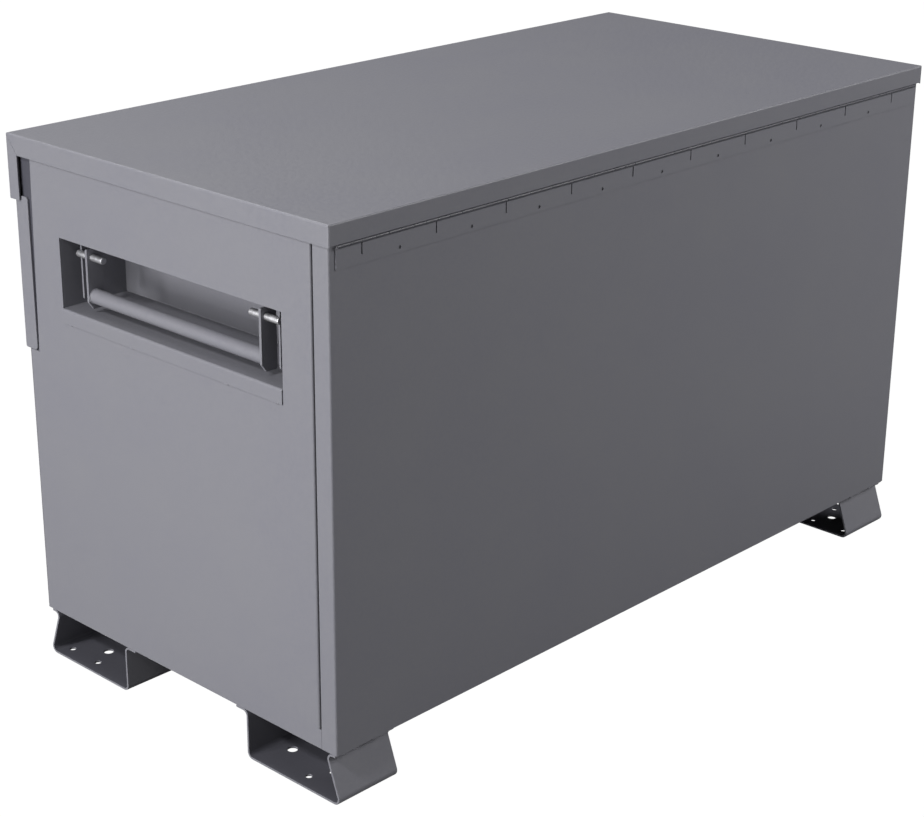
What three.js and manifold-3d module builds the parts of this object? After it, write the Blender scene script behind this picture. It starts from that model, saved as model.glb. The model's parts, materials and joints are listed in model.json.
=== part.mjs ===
// Jobsite storage box: a welded sheet steel chest on four skid feet, with a hinged lid on gas
// struts, two lock wells in the front and a drop handle in a pocket at each end.
// Millimetres, +Z up. The front faces -Y, the hinge side faces +Y and the length runs along X.
import * as THREE from 'three';
import { mergeVertices } from 'three/addons/utils/BufferGeometryUtils.js';
import Module from 'manifold-3d';

const wasm = await Module();
wasm.setup();

// Driving dimensions
const bodyLength = 1219;
const bodyDepth = 595;
const bodyHeight = 680.5;
const footHeight = 70;
const sheet = 1.5;
const plate = 3;
const bendRadius = 3;
const seat = 0.3;
const overrun = 5;

// Steps of an arc: the bends of a sheet, the wide bends of a foot, the hinge and the round pieces
const bendSteps = 3;
const footBendSteps = 6;
const noseSteps = 8;
const hingeSides = 8;
const smallSides = 12;
const roundSides = 16;
const gripSides = 24;
const mergeTolerance = 0.0005;

// Places that several pieces share
const halfLength = bodyLength / 2;
const halfDepth = bodyDepth / 2;
const rimHeight = footHeight + bodyHeight;
const lidUnderside = rimHeight + seat;
const lidTop = lidUnderside + sheet;
const endInner = halfLength - sheet;
const backInner = halfDepth - sheet;

const lid = {
  endOverhang: 3.5,
  backOverhang: 4.7,
  frontOverhang: 17.2,
  endSkirt: 27.5,
  backSkirt: 26,
  apron: 88,
  returnWidth: 22,
  mitreSlit: 0.8,
};
lid.halfLength = halfLength + lid.endOverhang;
lid.back = halfDepth + lid.backOverhang;
lid.front = -halfDepth - lid.frontOverhang;
lid.endBottom = lidTop - lid.endSkirt;
lid.backBottom = lidTop - lid.backSkirt;
lid.apronBottom = lidTop - lid.apron;
lid.apronInner = lid.front + sheet;

const endPanel = {
  frontFlange: 20,
  rearFlange: 12,
  rearMargin: 30.5,
  seamWeld: 27,
  joggle: 3.5,
  joggleRun: 3.5,
  joggleMargin: 20.8,
  joggleSlant: 8,
  joggleHeight: 292.8,
  topFlange: 24,
  topFlangeMargin: 47.5,
};
endPanel.rearSeam = halfDepth - endPanel.rearMargin;
endPanel.joggleEdge = -halfDepth + endPanel.joggleMargin;
endPanel.joggleBottom = rimHeight - endPanel.joggleHeight;
endPanel.topFlangeHalf = halfDepth - endPanel.topFlangeMargin;

const backPanel = {
  wrap: 26.5,
  topFlange: 18,
  topFlangeMargin: 29.5,
};
backPanel.wrapEdge = halfDepth - backPanel.wrap;
backPanel.topFlangeHalf = halfLength - backPanel.topFlangeMargin;

const frontPanel = {
  topFlange: 18,
};
frontPanel.outer = -halfDepth + sheet + seat;
frontPanel.inner = frontPanel.outer + sheet;
frontPanel.halfLength = endInner - endPanel.joggle - bendRadius;

const floorPan = {
  upstand: 25,
};
floorPan.side = endInner - seat;
floorPan.back = backInner - seat;
floorPan.front = frontPanel.inner + seat;

const guard = {
  thickness: 3,
  proud: 11,
  returnWidth: 28,
  topMargin: 10.5,
  returnTopMargin: 80.5,
  cornerCut: 3.5,
};
guard.halfLength = halfLength - endPanel.joggle + seat + guard.thickness;
guard.front = -halfDepth - guard.proud;
guard.back = -halfDepth - seat;
guard.bottom = endPanel.joggleBottom + seat;
guard.top = rimHeight - guard.topMargin;
guard.returnTop = rimHeight - guard.returnTopMargin;

const lock = {
  endMargin: 269.5,
  halfWidth: 55,
  wellHeight: 155.5,
  wellDepth: 62.5,
  flange: 12,
  earThickness: 5,
  earGap: 1,
  eyeRadius: 6,
  noseRadius: 12,
  eyeInset: 12.5,
  eyeRise: 50,
  haspTopMargin: 40.5,
  haspWidth: 15,
};
lock.place = halfLength - lock.endMargin;
lock.flangeFace = frontPanel.inner + seat;
lock.wellBottom = rimHeight - lock.wellHeight;
lock.wellBack = -halfDepth + lock.wellDepth;
lock.eyeDepth = -halfDepth + lock.eyeInset;
lock.eyeHeight = lock.wellBottom + lock.eyeRise;
lock.haspTop = rimHeight - lock.haspTopMargin;
const lockPlaces = [-lock.place, lock.place];

const pocket = {
  sideMargin: 82.5,
  topMargin: 121.2,
  height: 96,
  depth: 104.5,
  flange: 12,
  lip: 20,
};
pocket.halfWidth = halfDepth - pocket.sideMargin;
pocket.top = rimHeight - pocket.topMargin;
pocket.bottom = pocket.top - pocket.height;
pocket.back = halfLength - pocket.depth;
pocket.panelFace = endInner - seat;
pocket.lipFace = halfLength + seat + sheet;

const handle = {
  pinInset: 16,
  pinTopMargin: 19.8,
  pinRadius: 4.75,
  pinClearance: 0.4,
  pinLength: 53,
  pinSideMargin: 19,
  pinChamfer: 1,
  armSideMargin: 46.2,
  armThickness: 4,
  armFrontInset: 7,
  armRearInset: 32,
  armTopAbovePin: 11.5,
  armBottomMargin: 6.7,
  armFrontCut: 7,
  armFrontCutHeight: 10,
  armRearTopRadius: 8,
  armRearLowRadius: 4,
  gripRadius: 10.1,
  gripBore: 8,
  gripInset: 18.5,
  gripAboveArmEnd: 16.6,
};
handle.pinPlace = halfLength - handle.pinInset;
handle.pinHeight = pocket.top - handle.pinTopMargin;
handle.pinOuter = pocket.halfWidth - handle.pinSideMargin;
handle.pinInner = handle.pinOuter - handle.pinLength;
handle.armPlace = pocket.halfWidth - handle.armSideMargin;
handle.armBottom = pocket.bottom + handle.armBottomMargin;
handle.gripHeight = handle.armBottom + handle.gripAboveArmEnd;
handle.armInner = handle.armPlace - handle.armThickness / 2;
handle.armOuter = handle.armPlace + handle.armThickness / 2;

const pivotEar = {
  sideMargin: 23,
  frontInset: 17,
  rearInset: 67,
  bottomMargin: 13.7,
  rearRadius: 22,
  topFlange: 14,
};
pivotEar.place = pocket.halfWidth - pivotEar.sideMargin;
pivotEar.bottom = pocket.bottom + pivotEar.bottomMargin;
pivotEar.inner = pivotEar.place - plate / 2;
pivotEar.outer = pivotEar.place + plate / 2;
pivotEar.top = pocket.top - seat;

const foot = {
  length: 102,
  width: 175.5,
  flare: 24,
  backReach: 6,
  frontInset: 1.2,
  innerFlange: 20,
  outerFlange: 15,
  bend: 9,
  boltRadius: 4.5,
  boltSpacing: 61,
  boltRow: 58.4,
  boltInset: 51.3,
  drainRadius: 7,
  drainInsets: [145.4, 65],
};
foot.top = footHeight - seat;
foot.outerBottom = halfDepth + foot.backReach;
foot.outerTop = foot.outerBottom - foot.flare;
foot.inner = foot.outerBottom - foot.width;
foot.frontShift = foot.backReach + foot.frontInset;

const hinge = {
  axisTopMargin: 27.1,
  barrelRadius: 2.4,
  boreRadius: 1.4,
  pinRadius: 1,
  leafThickness: 1.2,
  bodyLeaf: 28,
  lidLeafTopMargin: 6,
  endMargin: 10.5,
  knuckles: 59,
  knuckleGap: 0.7,
  holeEvery: 6,
  slots: 10,
  firstSlot: 2,
  slotWidth: 2,
  slotDepth: 17.2,
  screwHoles: 9,
  firstScrewHole: 5,
  screwRadius: 2.2,
  screwBelowAxis: 21.5,
};
hinge.axisHeight = rimHeight - hinge.axisTopMargin;
hinge.axisDepth = halfDepth + seat + hinge.barrelRadius;
hinge.length = bodyLength - 2 * hinge.endMargin;
hinge.pitch = hinge.length / hinge.knuckles;

const stiffener = {
  lockOffset: 40,
  halfWidth: 25,
  height: 20,
  flange: 15,
  wellClearance: 10,
  backMargin: 40,
};
stiffener.place = lock.place - stiffener.lockOffset;

const strut = {
  endMargin: 44.5,
  bodyPivotInset: 23,
  bodyPivotTopMargin: 88.5,
  lidPivotInset: 247,
  lidPivotTopMargin: 35.5,
  cylinderRadius: 8,
  cylinderBore: 6.6,
  cylinderLength: 150,
  cylinderWall: 3,
  gland: 8,
  neckRadius: 4.5,
  rodRadius: 4,
  rodClearance: 0.4,
  rodEngaged: 112,
  pistonRadius: 6.2,
  pistonLength: 8,
  eyeRadius: 9,
  eyeHole: 4.4,
  eyeThickness: 10,
  fittingLength: 20,
  studRadius: 4,
  studHead: 6.5,
  studHeadLength: 3,
  studRivet: 2,
  studEndGap: 0.5,
  bracketGap: 7,
  bracketFlange: 16,
  bracketReach: 11,
  bracketHalfLength: 18,
};
strut.place = halfLength - strut.endMargin;
strut.bodyPivotDepth = backInner - strut.bodyPivotInset;
strut.bodyPivotHeight = rimHeight - strut.bodyPivotTopMargin;
strut.lidPivotDepth = backInner - strut.lidPivotInset;
strut.lidPivotHeight = rimHeight - strut.lidPivotTopMargin;
strut.bracketPlace = strut.place + strut.eyeThickness / 2 + strut.bracketGap;
strut.bracketOuter = strut.bracketPlace + plate;

function surface(name, color, roughness, metalness) {
  return new THREE.MeshStandardMaterial({ name, color, roughness, metalness });
}

const paint = surface('body_paint', 0x6d6d74, 0.55, 0.1);
const zinc = surface('zinc_steel', 0xa8a8ac, 0.35, 0.9);
const black = surface('black_paint', 0x18181a, 0.4, 0.1);

// Solids

function toSolid(geometry) {
  const bare = geometry.clone();
  bare.deleteAttribute('normal');
  bare.deleteAttribute('uv');
  const merged = mergeVertices(bare, mergeTolerance);
  return new wasm.Manifold(new wasm.Mesh({
    numProp: 3,
    vertProperties: Float32Array.from(merged.attributes.position.array),
    triVerts: Uint32Array.from(merged.index.array),
  }));
}

function toGeometry(solid) {
  const data = solid.getMesh();
  const geometry = new THREE.BufferGeometry();
  const corners = Float32Array.from(data.vertProperties);
  geometry.setAttribute('position', new THREE.BufferAttribute(corners, 3));
  geometry.setIndex([...data.triVerts]);
  const faceted = geometry.toNonIndexed();
  faceted.computeVertexNormals();
  return faceted;
}

function join(...solids) {
  return solids.reduce((whole, next) => whole.add(next));
}

function cut(solid, ...tools) {
  return tools.reduce((left, tool) => left.subtract(tool), solid);
}

// The same piece on the other side of the plane x = 0
function mirrorX(solid) {
  const geometry = toGeometry(solid);
  geometry.scale(-1, 1, 1);
  const corners = geometry.attributes.position.array;
  const flipped = new Float32Array(corners.length);
  for (let start = 0; start < corners.length; start += 9) {
    flipped.set(corners.subarray(start, start + 3), start);
    flipped.set(corners.subarray(start + 6, start + 9), start + 3);
    flipped.set(corners.subarray(start + 3, start + 6), start + 6);
  }
  geometry.setAttribute('position', new THREE.BufferAttribute(flipped, 3));
  return toSolid(geometry);
}

// The same piece on the other side of the plane y = 0
function mirrorY(solid) {
  const geometry = toGeometry(mirrorX(solid));
  geometry.rotateZ(Math.PI);
  return toSolid(geometry);
}

function block(low, high) {
  const size = high.map((value, axis) => value - low[axis]);
  const geometry = new THREE.BoxGeometry(...size);
  geometry.translate(...low.map((value, axis) => value + size[axis] / 2));
  return toSolid(geometry);
}

// Axes of an outline's two directions and of its extrusion, for each plane
const planeAxes = {
  plan: [[1, 0, 0], [0, 1, 0], [0, 0, 1]],
  side: [[0, 1, 0], [0, 0, 1], [1, 0, 0]],
  front: [[1, 0, 0], [0, 0, 1], [0, -1, 0]],
};

// An outline extruded between two places along the third axis of its plane
function prism(plane, outline, from, to) {
  const settings = { depth: to - from, bevelEnabled: false };
  const geometry = new THREE.ExtrudeGeometry(new THREE.Shape(outline), settings);
  const basis = planeAxes[plane].map((axis) => new THREE.Vector3(...axis));
  const start = basis[2].clone().multiplyScalar(plane === 'front' ? -to : from);
  geometry.applyMatrix4(new THREE.Matrix4().makeBasis(...basis).setPosition(start));
  return toSolid(geometry);
}

function toPoints(pairs) {
  return pairs.map(([x, y]) => new THREE.Vector2(x, y));
}

// Turned by half a side, so that flats face along both axes
function circle(x, y, radius, sides) {
  const points = [];
  for (let step = 0; step < sides; step += 1) {
    const angle = (step + 1 / 2) / sides * Math.PI * 2;
    points.push(new THREE.Vector2(x + radius * Math.cos(angle), y + radius * Math.sin(angle)));
  }
  return points;
}

function disc(plane, x, y, radius, from, to, sides = smallSides) {
  return prism(plane, circle(x, y, radius, sides), from, to);
}

// Cuts a round hole through the material between two places
function drill(plane, x, y, radius, from, to, sides = smallSides) {
  return disc(plane, x, y, radius, from - overrun, to + overrun, sides);
}

// Corners of a path rounded to the radius that each one is given
function roundPath(points, radii, steps = bendSteps) {
  const rounded = [];
  points.forEach((point, index) => {
    const before = points[index - 1];
    const after = points[index + 1];
    if (!before || !after || radii[index] <= 0) {
      rounded.push(point);
      return;
    }
    const inward = before.clone().sub(point).normalize();
    const outward = after.clone().sub(point).normalize();
    const half = Math.acos(THREE.MathUtils.clamp(inward.dot(outward), -1, 1)) / 2;
    const bisector = inward.clone().add(outward).normalize();
    const centre = bisector.multiplyScalar(radii[index] / Math.sin(half)).add(point);
    const run = radii[index] / Math.tan(half);
    const first = point.clone().addScaledVector(inward, run).sub(centre);
    const last = point.clone().addScaledVector(outward, run).sub(centre);
    const turn = Math.atan2(first.cross(last), first.dot(last));
    for (let step = 0; step <= steps; step += 1) {
      rounded.push(first.clone().rotateAround(new THREE.Vector2(), turn * step / steps).add(centre));
    }
  });
  return rounded;
}

// Outline of a bent sheet: the path runs on one face, and the sheet lies on its left
function strip(path, thickness = sheet, bend = bendRadius, steps = bendSteps) {
  const face = toPoints(path);
  const directions = face.slice(1).map((point, index) => point.clone().sub(face[index]).normalize());
  const normals = directions.map((direction) => new THREE.Vector2(-direction.y, direction.x));
  const faceRadii = [];
  const backRadii = [];
  const back = face.map((point, index) => {
    const before = normals[Math.max(index - 1, 0)];
    const after = normals[Math.min(index, normals.length - 1)];
    const mitre = before.clone().add(after);
    const turn = before.cross(after);
    faceRadii.push(turn > 0 ? bend : Math.max(bend - thickness, 0));
    backRadii.push(turn > 0 ? Math.max(bend - thickness, 0) : bend);
    return point.clone().addScaledVector(mitre, 2 * thickness / mitre.lengthSq());
  });
  return [...roundPath(face, faceRadii, steps), ...roundPath(back, backRadii, steps).reverse()];
}

// Outline with every corner rounded to its own radius, in the order of the corners
function roundOutline(corners, radii) {
  const points = toPoints(corners);
  const closed = [points[points.length - 1], ...points, points[0]];
  return roundPath(closed, [0, ...radii, 0]).slice(1, -1);
}

// Body shell

function makeFloor() {
  const tray = (inset, bottom, top) => {
    const side = floorPan.side - inset;
    const front = floorPan.front + inset;
    const back = floorPan.back - inset;
    const radius = bendRadius - inset;
    const corners = [[-side, front], [side, front], [side, back], [-side, back]];
    return prism('plan', roundOutline(corners, [radius, radius, radius, radius]), bottom, top);
  };
  return cut(
    tray(0, footHeight, footHeight + floorPan.upstand),
    tray(sheet, footHeight + sheet, footHeight + floorPan.upstand + overrun),
  );
}

function makeBackPanel() {
  const wrap = strip([
    [halfLength, backPanel.wrapEdge],
    [halfLength, halfDepth],
    [-halfLength, halfDepth],
    [-halfLength, backPanel.wrapEdge],
  ]);
  const rim = strip([
    [halfDepth, rimHeight - 2 * bendRadius],
    [halfDepth, rimHeight],
    [halfDepth - backPanel.topFlange, rimHeight],
  ]);
  return join(
    prism('plan', wrap, footHeight, rimHeight - bendRadius),
    prism('side', rim, -backPanel.topFlangeHalf, backPanel.topFlangeHalf),
  );
}

function makeEndPanel() {
  const { frontFlange, rearFlange, rearSeam, joggle, joggleRun, joggleEdge, joggleBottom } = endPanel;
  const weldTop = footHeight + endPanel.seamWeld;
  const wallTop = rimHeight - bendRadius;
  const welded = strip([
    [halfLength - frontFlange, -halfDepth],
    [halfLength, -halfDepth],
    [halfLength, backPanel.wrapEdge - seat],
  ]);
  const lower = strip([
    [halfLength - frontFlange, -halfDepth],
    [halfLength, -halfDepth],
    [halfLength, rearSeam],
    [halfLength - rearFlange, rearSeam],
  ]);
  const upper = strip([
    [halfLength - frontFlange, -halfDepth],
    [halfLength - joggle, -halfDepth],
    [halfLength - joggle, joggleEdge - joggleRun],
    [halfLength, joggleEdge],
    [halfLength, rearSeam],
    [halfLength - rearFlange, rearSeam],
  ]);
  // The joggle leans away from the front as it rises
  const leaning = prism('plan', upper, joggleBottom, wallTop).warp((corner) => {
    if (corner[1] > -halfDepth + 2 * bendRadius && corner[1] < 0) {
      const rise = (corner[2] - joggleBottom) / (wallTop - joggleBottom);
      corner[1] += endPanel.joggleSlant * rise;
    }
  });
  const rim = strip([
    [halfLength, rimHeight - 2 * bendRadius],
    [halfLength, rimHeight],
    [halfLength - endPanel.topFlange, rimHeight],
  ]);
  const ledge = block(
    [halfLength - joggle - sheet, -halfDepth + bendRadius, joggleBottom - sheet],
    [halfLength - sheet / 2, joggleEdge, joggleBottom],
  );
  const opening = block(
    [endInner - overrun, -pocket.halfWidth, pocket.bottom - sheet - bendRadius],
    [halfLength + overrun, pocket.halfWidth, pocket.top],
  );
  const panel = join(
    prism('plan', welded, footHeight, weldTop),
    prism('plan', lower, weldTop, joggleBottom),
    leaning,
    prism('front', rim, -endPanel.topFlangeHalf, endPanel.topFlangeHalf),
    ledge,
  );
  return cut(panel, opening);
}

function makeFrontPanel() {
  const profile = strip([
    [frontPanel.outer + frontPanel.topFlange, rimHeight],
    [frontPanel.outer, rimHeight],
    [frontPanel.outer, footHeight],
  ]);
  const rear = frontPanel.outer + frontPanel.topFlange;
  const notches = lockPlaces.map((place) => lockNotch(place, frontPanel.outer, rear));
  return cut(prism('side', profile, -frontPanel.halfLength, frontPanel.halfLength), ...notches);
}

// Lock guard over the upper front, with returns that lap the joggled margins of the end panels

function makeGuard() {
  const { halfLength: reach, front, back, bottom, top, thickness } = guard;
  const wrap = strip([
    [-reach, front + guard.returnWidth],
    [-reach, front],
    [reach, front],
    [reach, front + guard.returnWidth],
  ], thickness, thickness + sheet);
  const profile = strip([
    [back, top],
    [front, top],
    [front, bottom],
    [back, bottom],
  ], thickness, thickness + sheet);
  const innerReach = reach - thickness;
  const turned = thickness + sheet;
  const rear = front + guard.returnWidth;
  const sideView = roundOutline([
    [front, bottom],
    [rear, bottom],
    [rear, top],
    [front, top],
  ], [turned, 0, 0, turned]);
  const wrapped = prism('plan', wrap, bottom, top).intersect(prism('side', sideView, -reach, reach));
  const shell = join(wrapped, prism('side', profile, -innerReach, innerReach));
  const cuts = [-1, 1].flatMap((end) => {
    const from = Math.min(end * (innerReach - overrun), end * (reach + overrun));
    const to = Math.max(end * (innerReach - overrun), end * (reach + overrun));
    const above = block([from, back, guard.returnTop], [to, rear + overrun, top + overrun]);
    const bevel = (height, up) => prism('side', toPoints([
      [rear + overrun, height - up * overrun],
      [rear + overrun, height + up * guard.cornerCut],
      [rear, height + up * guard.cornerCut],
      [rear - guard.cornerCut, height],
      [rear - guard.cornerCut, height - up * overrun],
    ]), from, to);
    return [above, bevel(guard.returnTop, -1), bevel(bottom, 1)];
  });
  return cut(shell, ...cuts, ...lockPlaces.map((place) => lockNotch(place, front, back)));
}

// Locks: a well behind each notch, a fixed eye in it and a hasp on the lid beside the eye

function lockNotch(place, front, back) {
  return block(
    [place - lock.halfWidth, front - overrun, lock.wellBottom],
    [place + lock.halfWidth, back + overrun, rimHeight + overrun],
  );
}

function makeLockWell(place) {
  const left = place - lock.halfWidth;
  const right = place + lock.halfWidth;
  const walls = strip([
    [left - lock.flange, lock.flangeFace],
    [left, lock.flangeFace],
    [left, lock.wellBack],
    [right, lock.wellBack],
    [right, lock.flangeFace],
    [right + lock.flange, lock.flangeFace],
  ]);
  const base = block(
    [left - sheet / 2, lock.flangeFace, lock.wellBottom - sheet],
    [right + sheet / 2, lock.wellBack + sheet / 2, lock.wellBottom],
  );
  return join(prism('plan', walls, lock.wellBottom - sheet, rimHeight - bendRadius), base);
}

// Outline of a lock ear: its root, then half a turn about its eye from the angle given
function lockEar(root, startAngle) {
  const corners = [...root];
  for (let step = 0; step <= noseSteps; step += 1) {
    const angle = startAngle + Math.PI * step / noseSteps;
    corners.push([
      lock.eyeDepth + lock.noseRadius * Math.cos(angle),
      lock.eyeHeight + lock.noseRadius * Math.sin(angle),
    ]);
  }
  return toPoints(corners);
}

function makeEar(outline, from) {
  const to = from + lock.earThickness;
  const eye = drill('side', lock.eyeDepth, lock.eyeHeight, lock.eyeRadius, from, to, roundSides);
  return cut(prism('side', outline, from, to), eye);
}

function makeLockEye(place) {
  const root = lock.wellBack - seat;
  const outline = lockEar([
    [root, lock.eyeHeight - lock.noseRadius],
    [root, lock.eyeHeight + lock.noseRadius],
  ], Math.PI / 2);
  return makeEar(outline, place + lock.earGap / 2);
}

function makeLidHasp(place) {
  const root = lid.apronInner + seat;
  const outline = lockEar([
    [root + lock.haspWidth, lock.eyeHeight + lock.noseRadius],
    [root + lock.haspWidth, lock.haspTop],
    [root, lock.haspTop],
    [root, lock.eyeHeight - lock.noseRadius],
  ], -Math.PI / 2);
  return makeEar(outline, place - lock.earGap / 2 - lock.earThickness);
}

// Lid

function makeLidPan() {
  const shell = (inset, bottom) => {
    const side = lid.halfLength - inset;
    const front = lid.front + inset;
    const back = lid.back - inset;
    const top = lidTop - inset;
    const radius = bendRadius - inset;
    const rectangle = (left, low, right, high) => [
      [left, low],
      [right, low],
      [right, high],
      [left, high],
    ];
    const plan = roundOutline(rectangle(-side, front, side, back), [radius, radius, radius, radius]);
    const endView = roundOutline(rectangle(front, bottom, back, top), [0, 0, radius, radius]);
    const frontView = roundOutline(rectangle(-side, bottom, side, top), [0, 0, radius, radius]);
    return prism('plan', plan, bottom, top)
      .intersect(prism('side', endView, -side, side))
      .intersect(prism('front', frontView, front, back));
  };
  const pan = cut(shell(0, lid.apronBottom), shell(sheet, lid.apronBottom - overrun));
  const far = lid.halfLength + overrun;
  const returnEdge = lid.front + lid.returnWidth;
  const underEnds = block(
    [-far, returnEdge, lid.apronBottom - overrun],
    [far, lid.back + overrun, lid.endBottom],
  );
  const underBack = block(
    [-lid.halfLength + bendRadius, backInner, lid.apronBottom],
    [lid.halfLength - bendRadius, lid.back + overrun, lid.backBottom],
  );
  const slits = [-1, 1].map((end) => {
    const from = Math.min(end * (lid.halfLength - sheet - seat), end * far);
    const to = Math.max(end * (lid.halfLength - sheet - seat), end * far);
    return prism('side', toPoints([
      [returnEdge + overrun, lid.endBottom - overrun],
      [returnEdge + overrun, lid.endBottom - overrun + lid.mitreSlit],
      [lid.front + bendRadius, lidTop - bendRadius],
      [lid.front + bendRadius, lidTop - bendRadius - lid.mitreSlit],
    ]), from, to);
  });
  return cut(pan, underEnds, underBack, ...slits);
}

function makeStiffener(place) {
  const top = lidUnderside - seat;
  const low = top - stiffener.height;
  const left = place - stiffener.halfWidth;
  const right = place + stiffener.halfWidth;
  const profile = strip([
    [right + stiffener.flange, top],
    [right, top],
    [right, low],
    [left, low],
    [left, top],
    [left - stiffener.flange, top],
  ]);
  const front = lock.wellBack + stiffener.wellClearance;
  return prism('front', profile, front, halfDepth - stiffener.backMargin);
}

// Full-length hinge: two leaves with alternate knuckles on one pin

function hingeRound(radius, from, to) {
  return disc('side', hinge.axisDepth, hinge.axisHeight, radius, from, to, hingeSides);
}

function hingeKnuckles(first) {
  const rings = [];
  for (let index = first; index < hinge.knuckles; index += 2) {
    const from = -hinge.length / 2 + index * hinge.pitch + hinge.knuckleGap / 2;
    const to = from + hinge.pitch - hinge.knuckleGap;
    rings.push(hingeRound(hinge.barrelRadius, from, to));
  }
  return rings;
}

function hingeBore() {
  const reach = hinge.length / 2 + overrun;
  return hingeRound(hinge.boreRadius, -reach, reach);
}

// Slots in a leaf where the other leaf's knuckles turn
function knuckleRelief(first, low, high) {
  const cuts = [];
  for (let index = first; index < hinge.knuckles; index += 2) {
    const from = -hinge.length / 2 + index * hinge.pitch - hinge.knuckleGap / 2;
    const to = from + hinge.pitch + hinge.knuckleGap;
    const rear = hinge.axisDepth + hinge.barrelRadius + overrun;
    cuts.push(block([from, halfDepth - overrun, low], [to, rear, high]));
  }
  return cuts;
}

function makeBodyLeaf() {
  const face = halfDepth + seat;
  const bottom = hinge.axisHeight - hinge.bodyLeaf;
  const reach = hinge.length / 2;
  const leaf = block([-reach, face, bottom], [reach, face + hinge.leafThickness, hinge.axisHeight]);
  const clear = hinge.barrelRadius + seat;
  const relief = knuckleRelief(1, hinge.axisHeight - clear, hinge.axisHeight + clear);
  const screwHeight = hinge.axisHeight - hinge.screwBelowAxis;
  const slotBottom = hinge.axisHeight - hinge.slotDepth;
  const holes = [];
  for (let index = 0; index < hinge.screwHoles; index += 1) {
    const place = reach - (hinge.firstScrewHole + index * hinge.holeEvery) * hinge.pitch;
    holes.push(drill('front', place, screwHeight, hinge.screwRadius, face, face + hinge.leafThickness));
  }
  for (let index = 0; index < hinge.slots; index += 1) {
    const place = reach - (hinge.firstSlot + index * hinge.holeEvery) * hinge.pitch;
    holes.push(block(
      [place - hinge.slotWidth / 2, halfDepth - overrun, slotBottom],
      [place + hinge.slotWidth / 2, face + hinge.leafThickness, hinge.axisHeight - clear],
    ));
  }
  return cut(join(cut(leaf, ...relief), ...hingeKnuckles(0)), hingeBore(), ...holes);
}

function makeLidLeaf() {
  const outer = lid.back - sheet - seat;
  const top = lidUnderside - hinge.lidLeafTopMargin;
  const reach = hinge.length / 2;
  const leaf = block([-reach, outer - hinge.leafThickness, hinge.axisHeight], [reach, outer, top]);
  const clear = hinge.barrelRadius + seat;
  const relief = knuckleRelief(0, hinge.axisHeight - clear, hinge.axisHeight + clear);
  return cut(join(cut(leaf, ...relief), ...hingeKnuckles(1)), hingeBore());
}

function makeHingePin() {
  const reach = hinge.length / 2;
  return hingeRound(hinge.pinRadius, -reach, reach);
}

// End pocket and drop handle, drawn for the right end

function makePocket() {
  const { halfWidth, bottom, top, back, panelFace, lipFace, flange, lip } = pocket;
  const tray = block(
    [back - sheet, -halfWidth - sheet, bottom - sheet],
    [panelFace, halfWidth + sheet, top + sheet],
  );
  const rim = block(
    [panelFace - sheet, -halfWidth - flange, bottom - sheet],
    [panelFace, halfWidth + flange, top + flange],
  );
  const hollow = block([back, -halfWidth, bottom], [panelFace + overrun, halfWidth, top]);
  const lipProfile = strip([
    [lipFace, bottom - lip],
    [lipFace, bottom],
    [panelFace - bendRadius, bottom],
  ]);
  const turnedLip = prism('front', lipProfile, -halfWidth + seat, halfWidth - seat);
  return join(cut(join(tray, rim), hollow), turnedLip);
}

function makePivotEar(side) {
  const { inner, outer, top, topFlange, bottom, rearRadius } = pivotEar;
  const rear = halfLength - pivotEar.rearInset;
  const front = halfLength - pivotEar.frontInset;
  const outline = roundOutline([
    [front, top - bendRadius],
    [rear, top - bendRadius],
    [rear, bottom],
    [front, bottom],
  ], [0, 0, rearRadius, plate]);
  const bend = strip([
    [inner + topFlange, top],
    [inner, top],
    [inner, top - 2 * bendRadius],
  ], plate, plate + sheet);
  const holeRadius = handle.pinRadius + seat;
  const hole = drill('front', handle.pinPlace, handle.pinHeight, holeRadius, inner, outer, roundSides);
  const ear = cut(join(prism('front', outline, inner, outer), prism('side', bend, rear, front)), hole);
  return side > 0 ? ear : mirrorY(ear);
}

function makeHandlePin(side) {
  const { pinInner, pinOuter, pinRadius, pinChamfer } = handle;
  const length = pinOuter - pinInner;
  const profile = toPoints([
    [0, 0],
    [pinRadius - pinChamfer, 0],
    [pinRadius, pinChamfer],
    [pinRadius, length - pinChamfer],
    [pinRadius - pinChamfer, length],
    [0, length],
  ]);
  const geometry = new THREE.LatheGeometry(profile, roundSides);
  geometry.translate(handle.pinPlace, side > 0 ? pinInner : -pinOuter, handle.pinHeight);
  return toSolid(geometry);
}

function makeHandleArm(side) {
  const front = halfLength - handle.armFrontInset;
  const rear = halfLength - handle.armRearInset;
  const top = handle.pinHeight + handle.armTopAbovePin;
  const { armBottom, armFrontCut, armFrontCutHeight, armRearTopRadius, armRearLowRadius } = handle;
  const outline = roundOutline([
    [front, top],
    [rear, top],
    [rear, armBottom],
    [front - armFrontCut, armBottom],
    [front, armBottom + armFrontCutHeight],
  ], [sheet, armRearTopRadius, armRearLowRadius, sheet, sheet]);
  const from = side > 0 ? handle.armInner : -handle.armOuter;
  const to = side > 0 ? handle.armOuter : -handle.armInner;
  const holeRadius = handle.pinRadius + handle.pinClearance;
  const hole = drill('front', handle.pinPlace, handle.pinHeight, holeRadius, from, to, roundSides);
  return cut(prism('front', outline, from, to), hole);
}

function makeGrip() {
  const reach = handle.armInner - seat;
  const place = halfLength - handle.gripInset;
  const outer = disc('front', place, handle.gripHeight, handle.gripRadius, -reach, reach, gripSides);
  const bore = drill('front', place, handle.gripHeight, handle.gripBore, -reach, reach, roundSides);
  return cut(outer, bore);
}

// Skid foot, drawn for the right end at the back: a flanged channel, open along X

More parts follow.
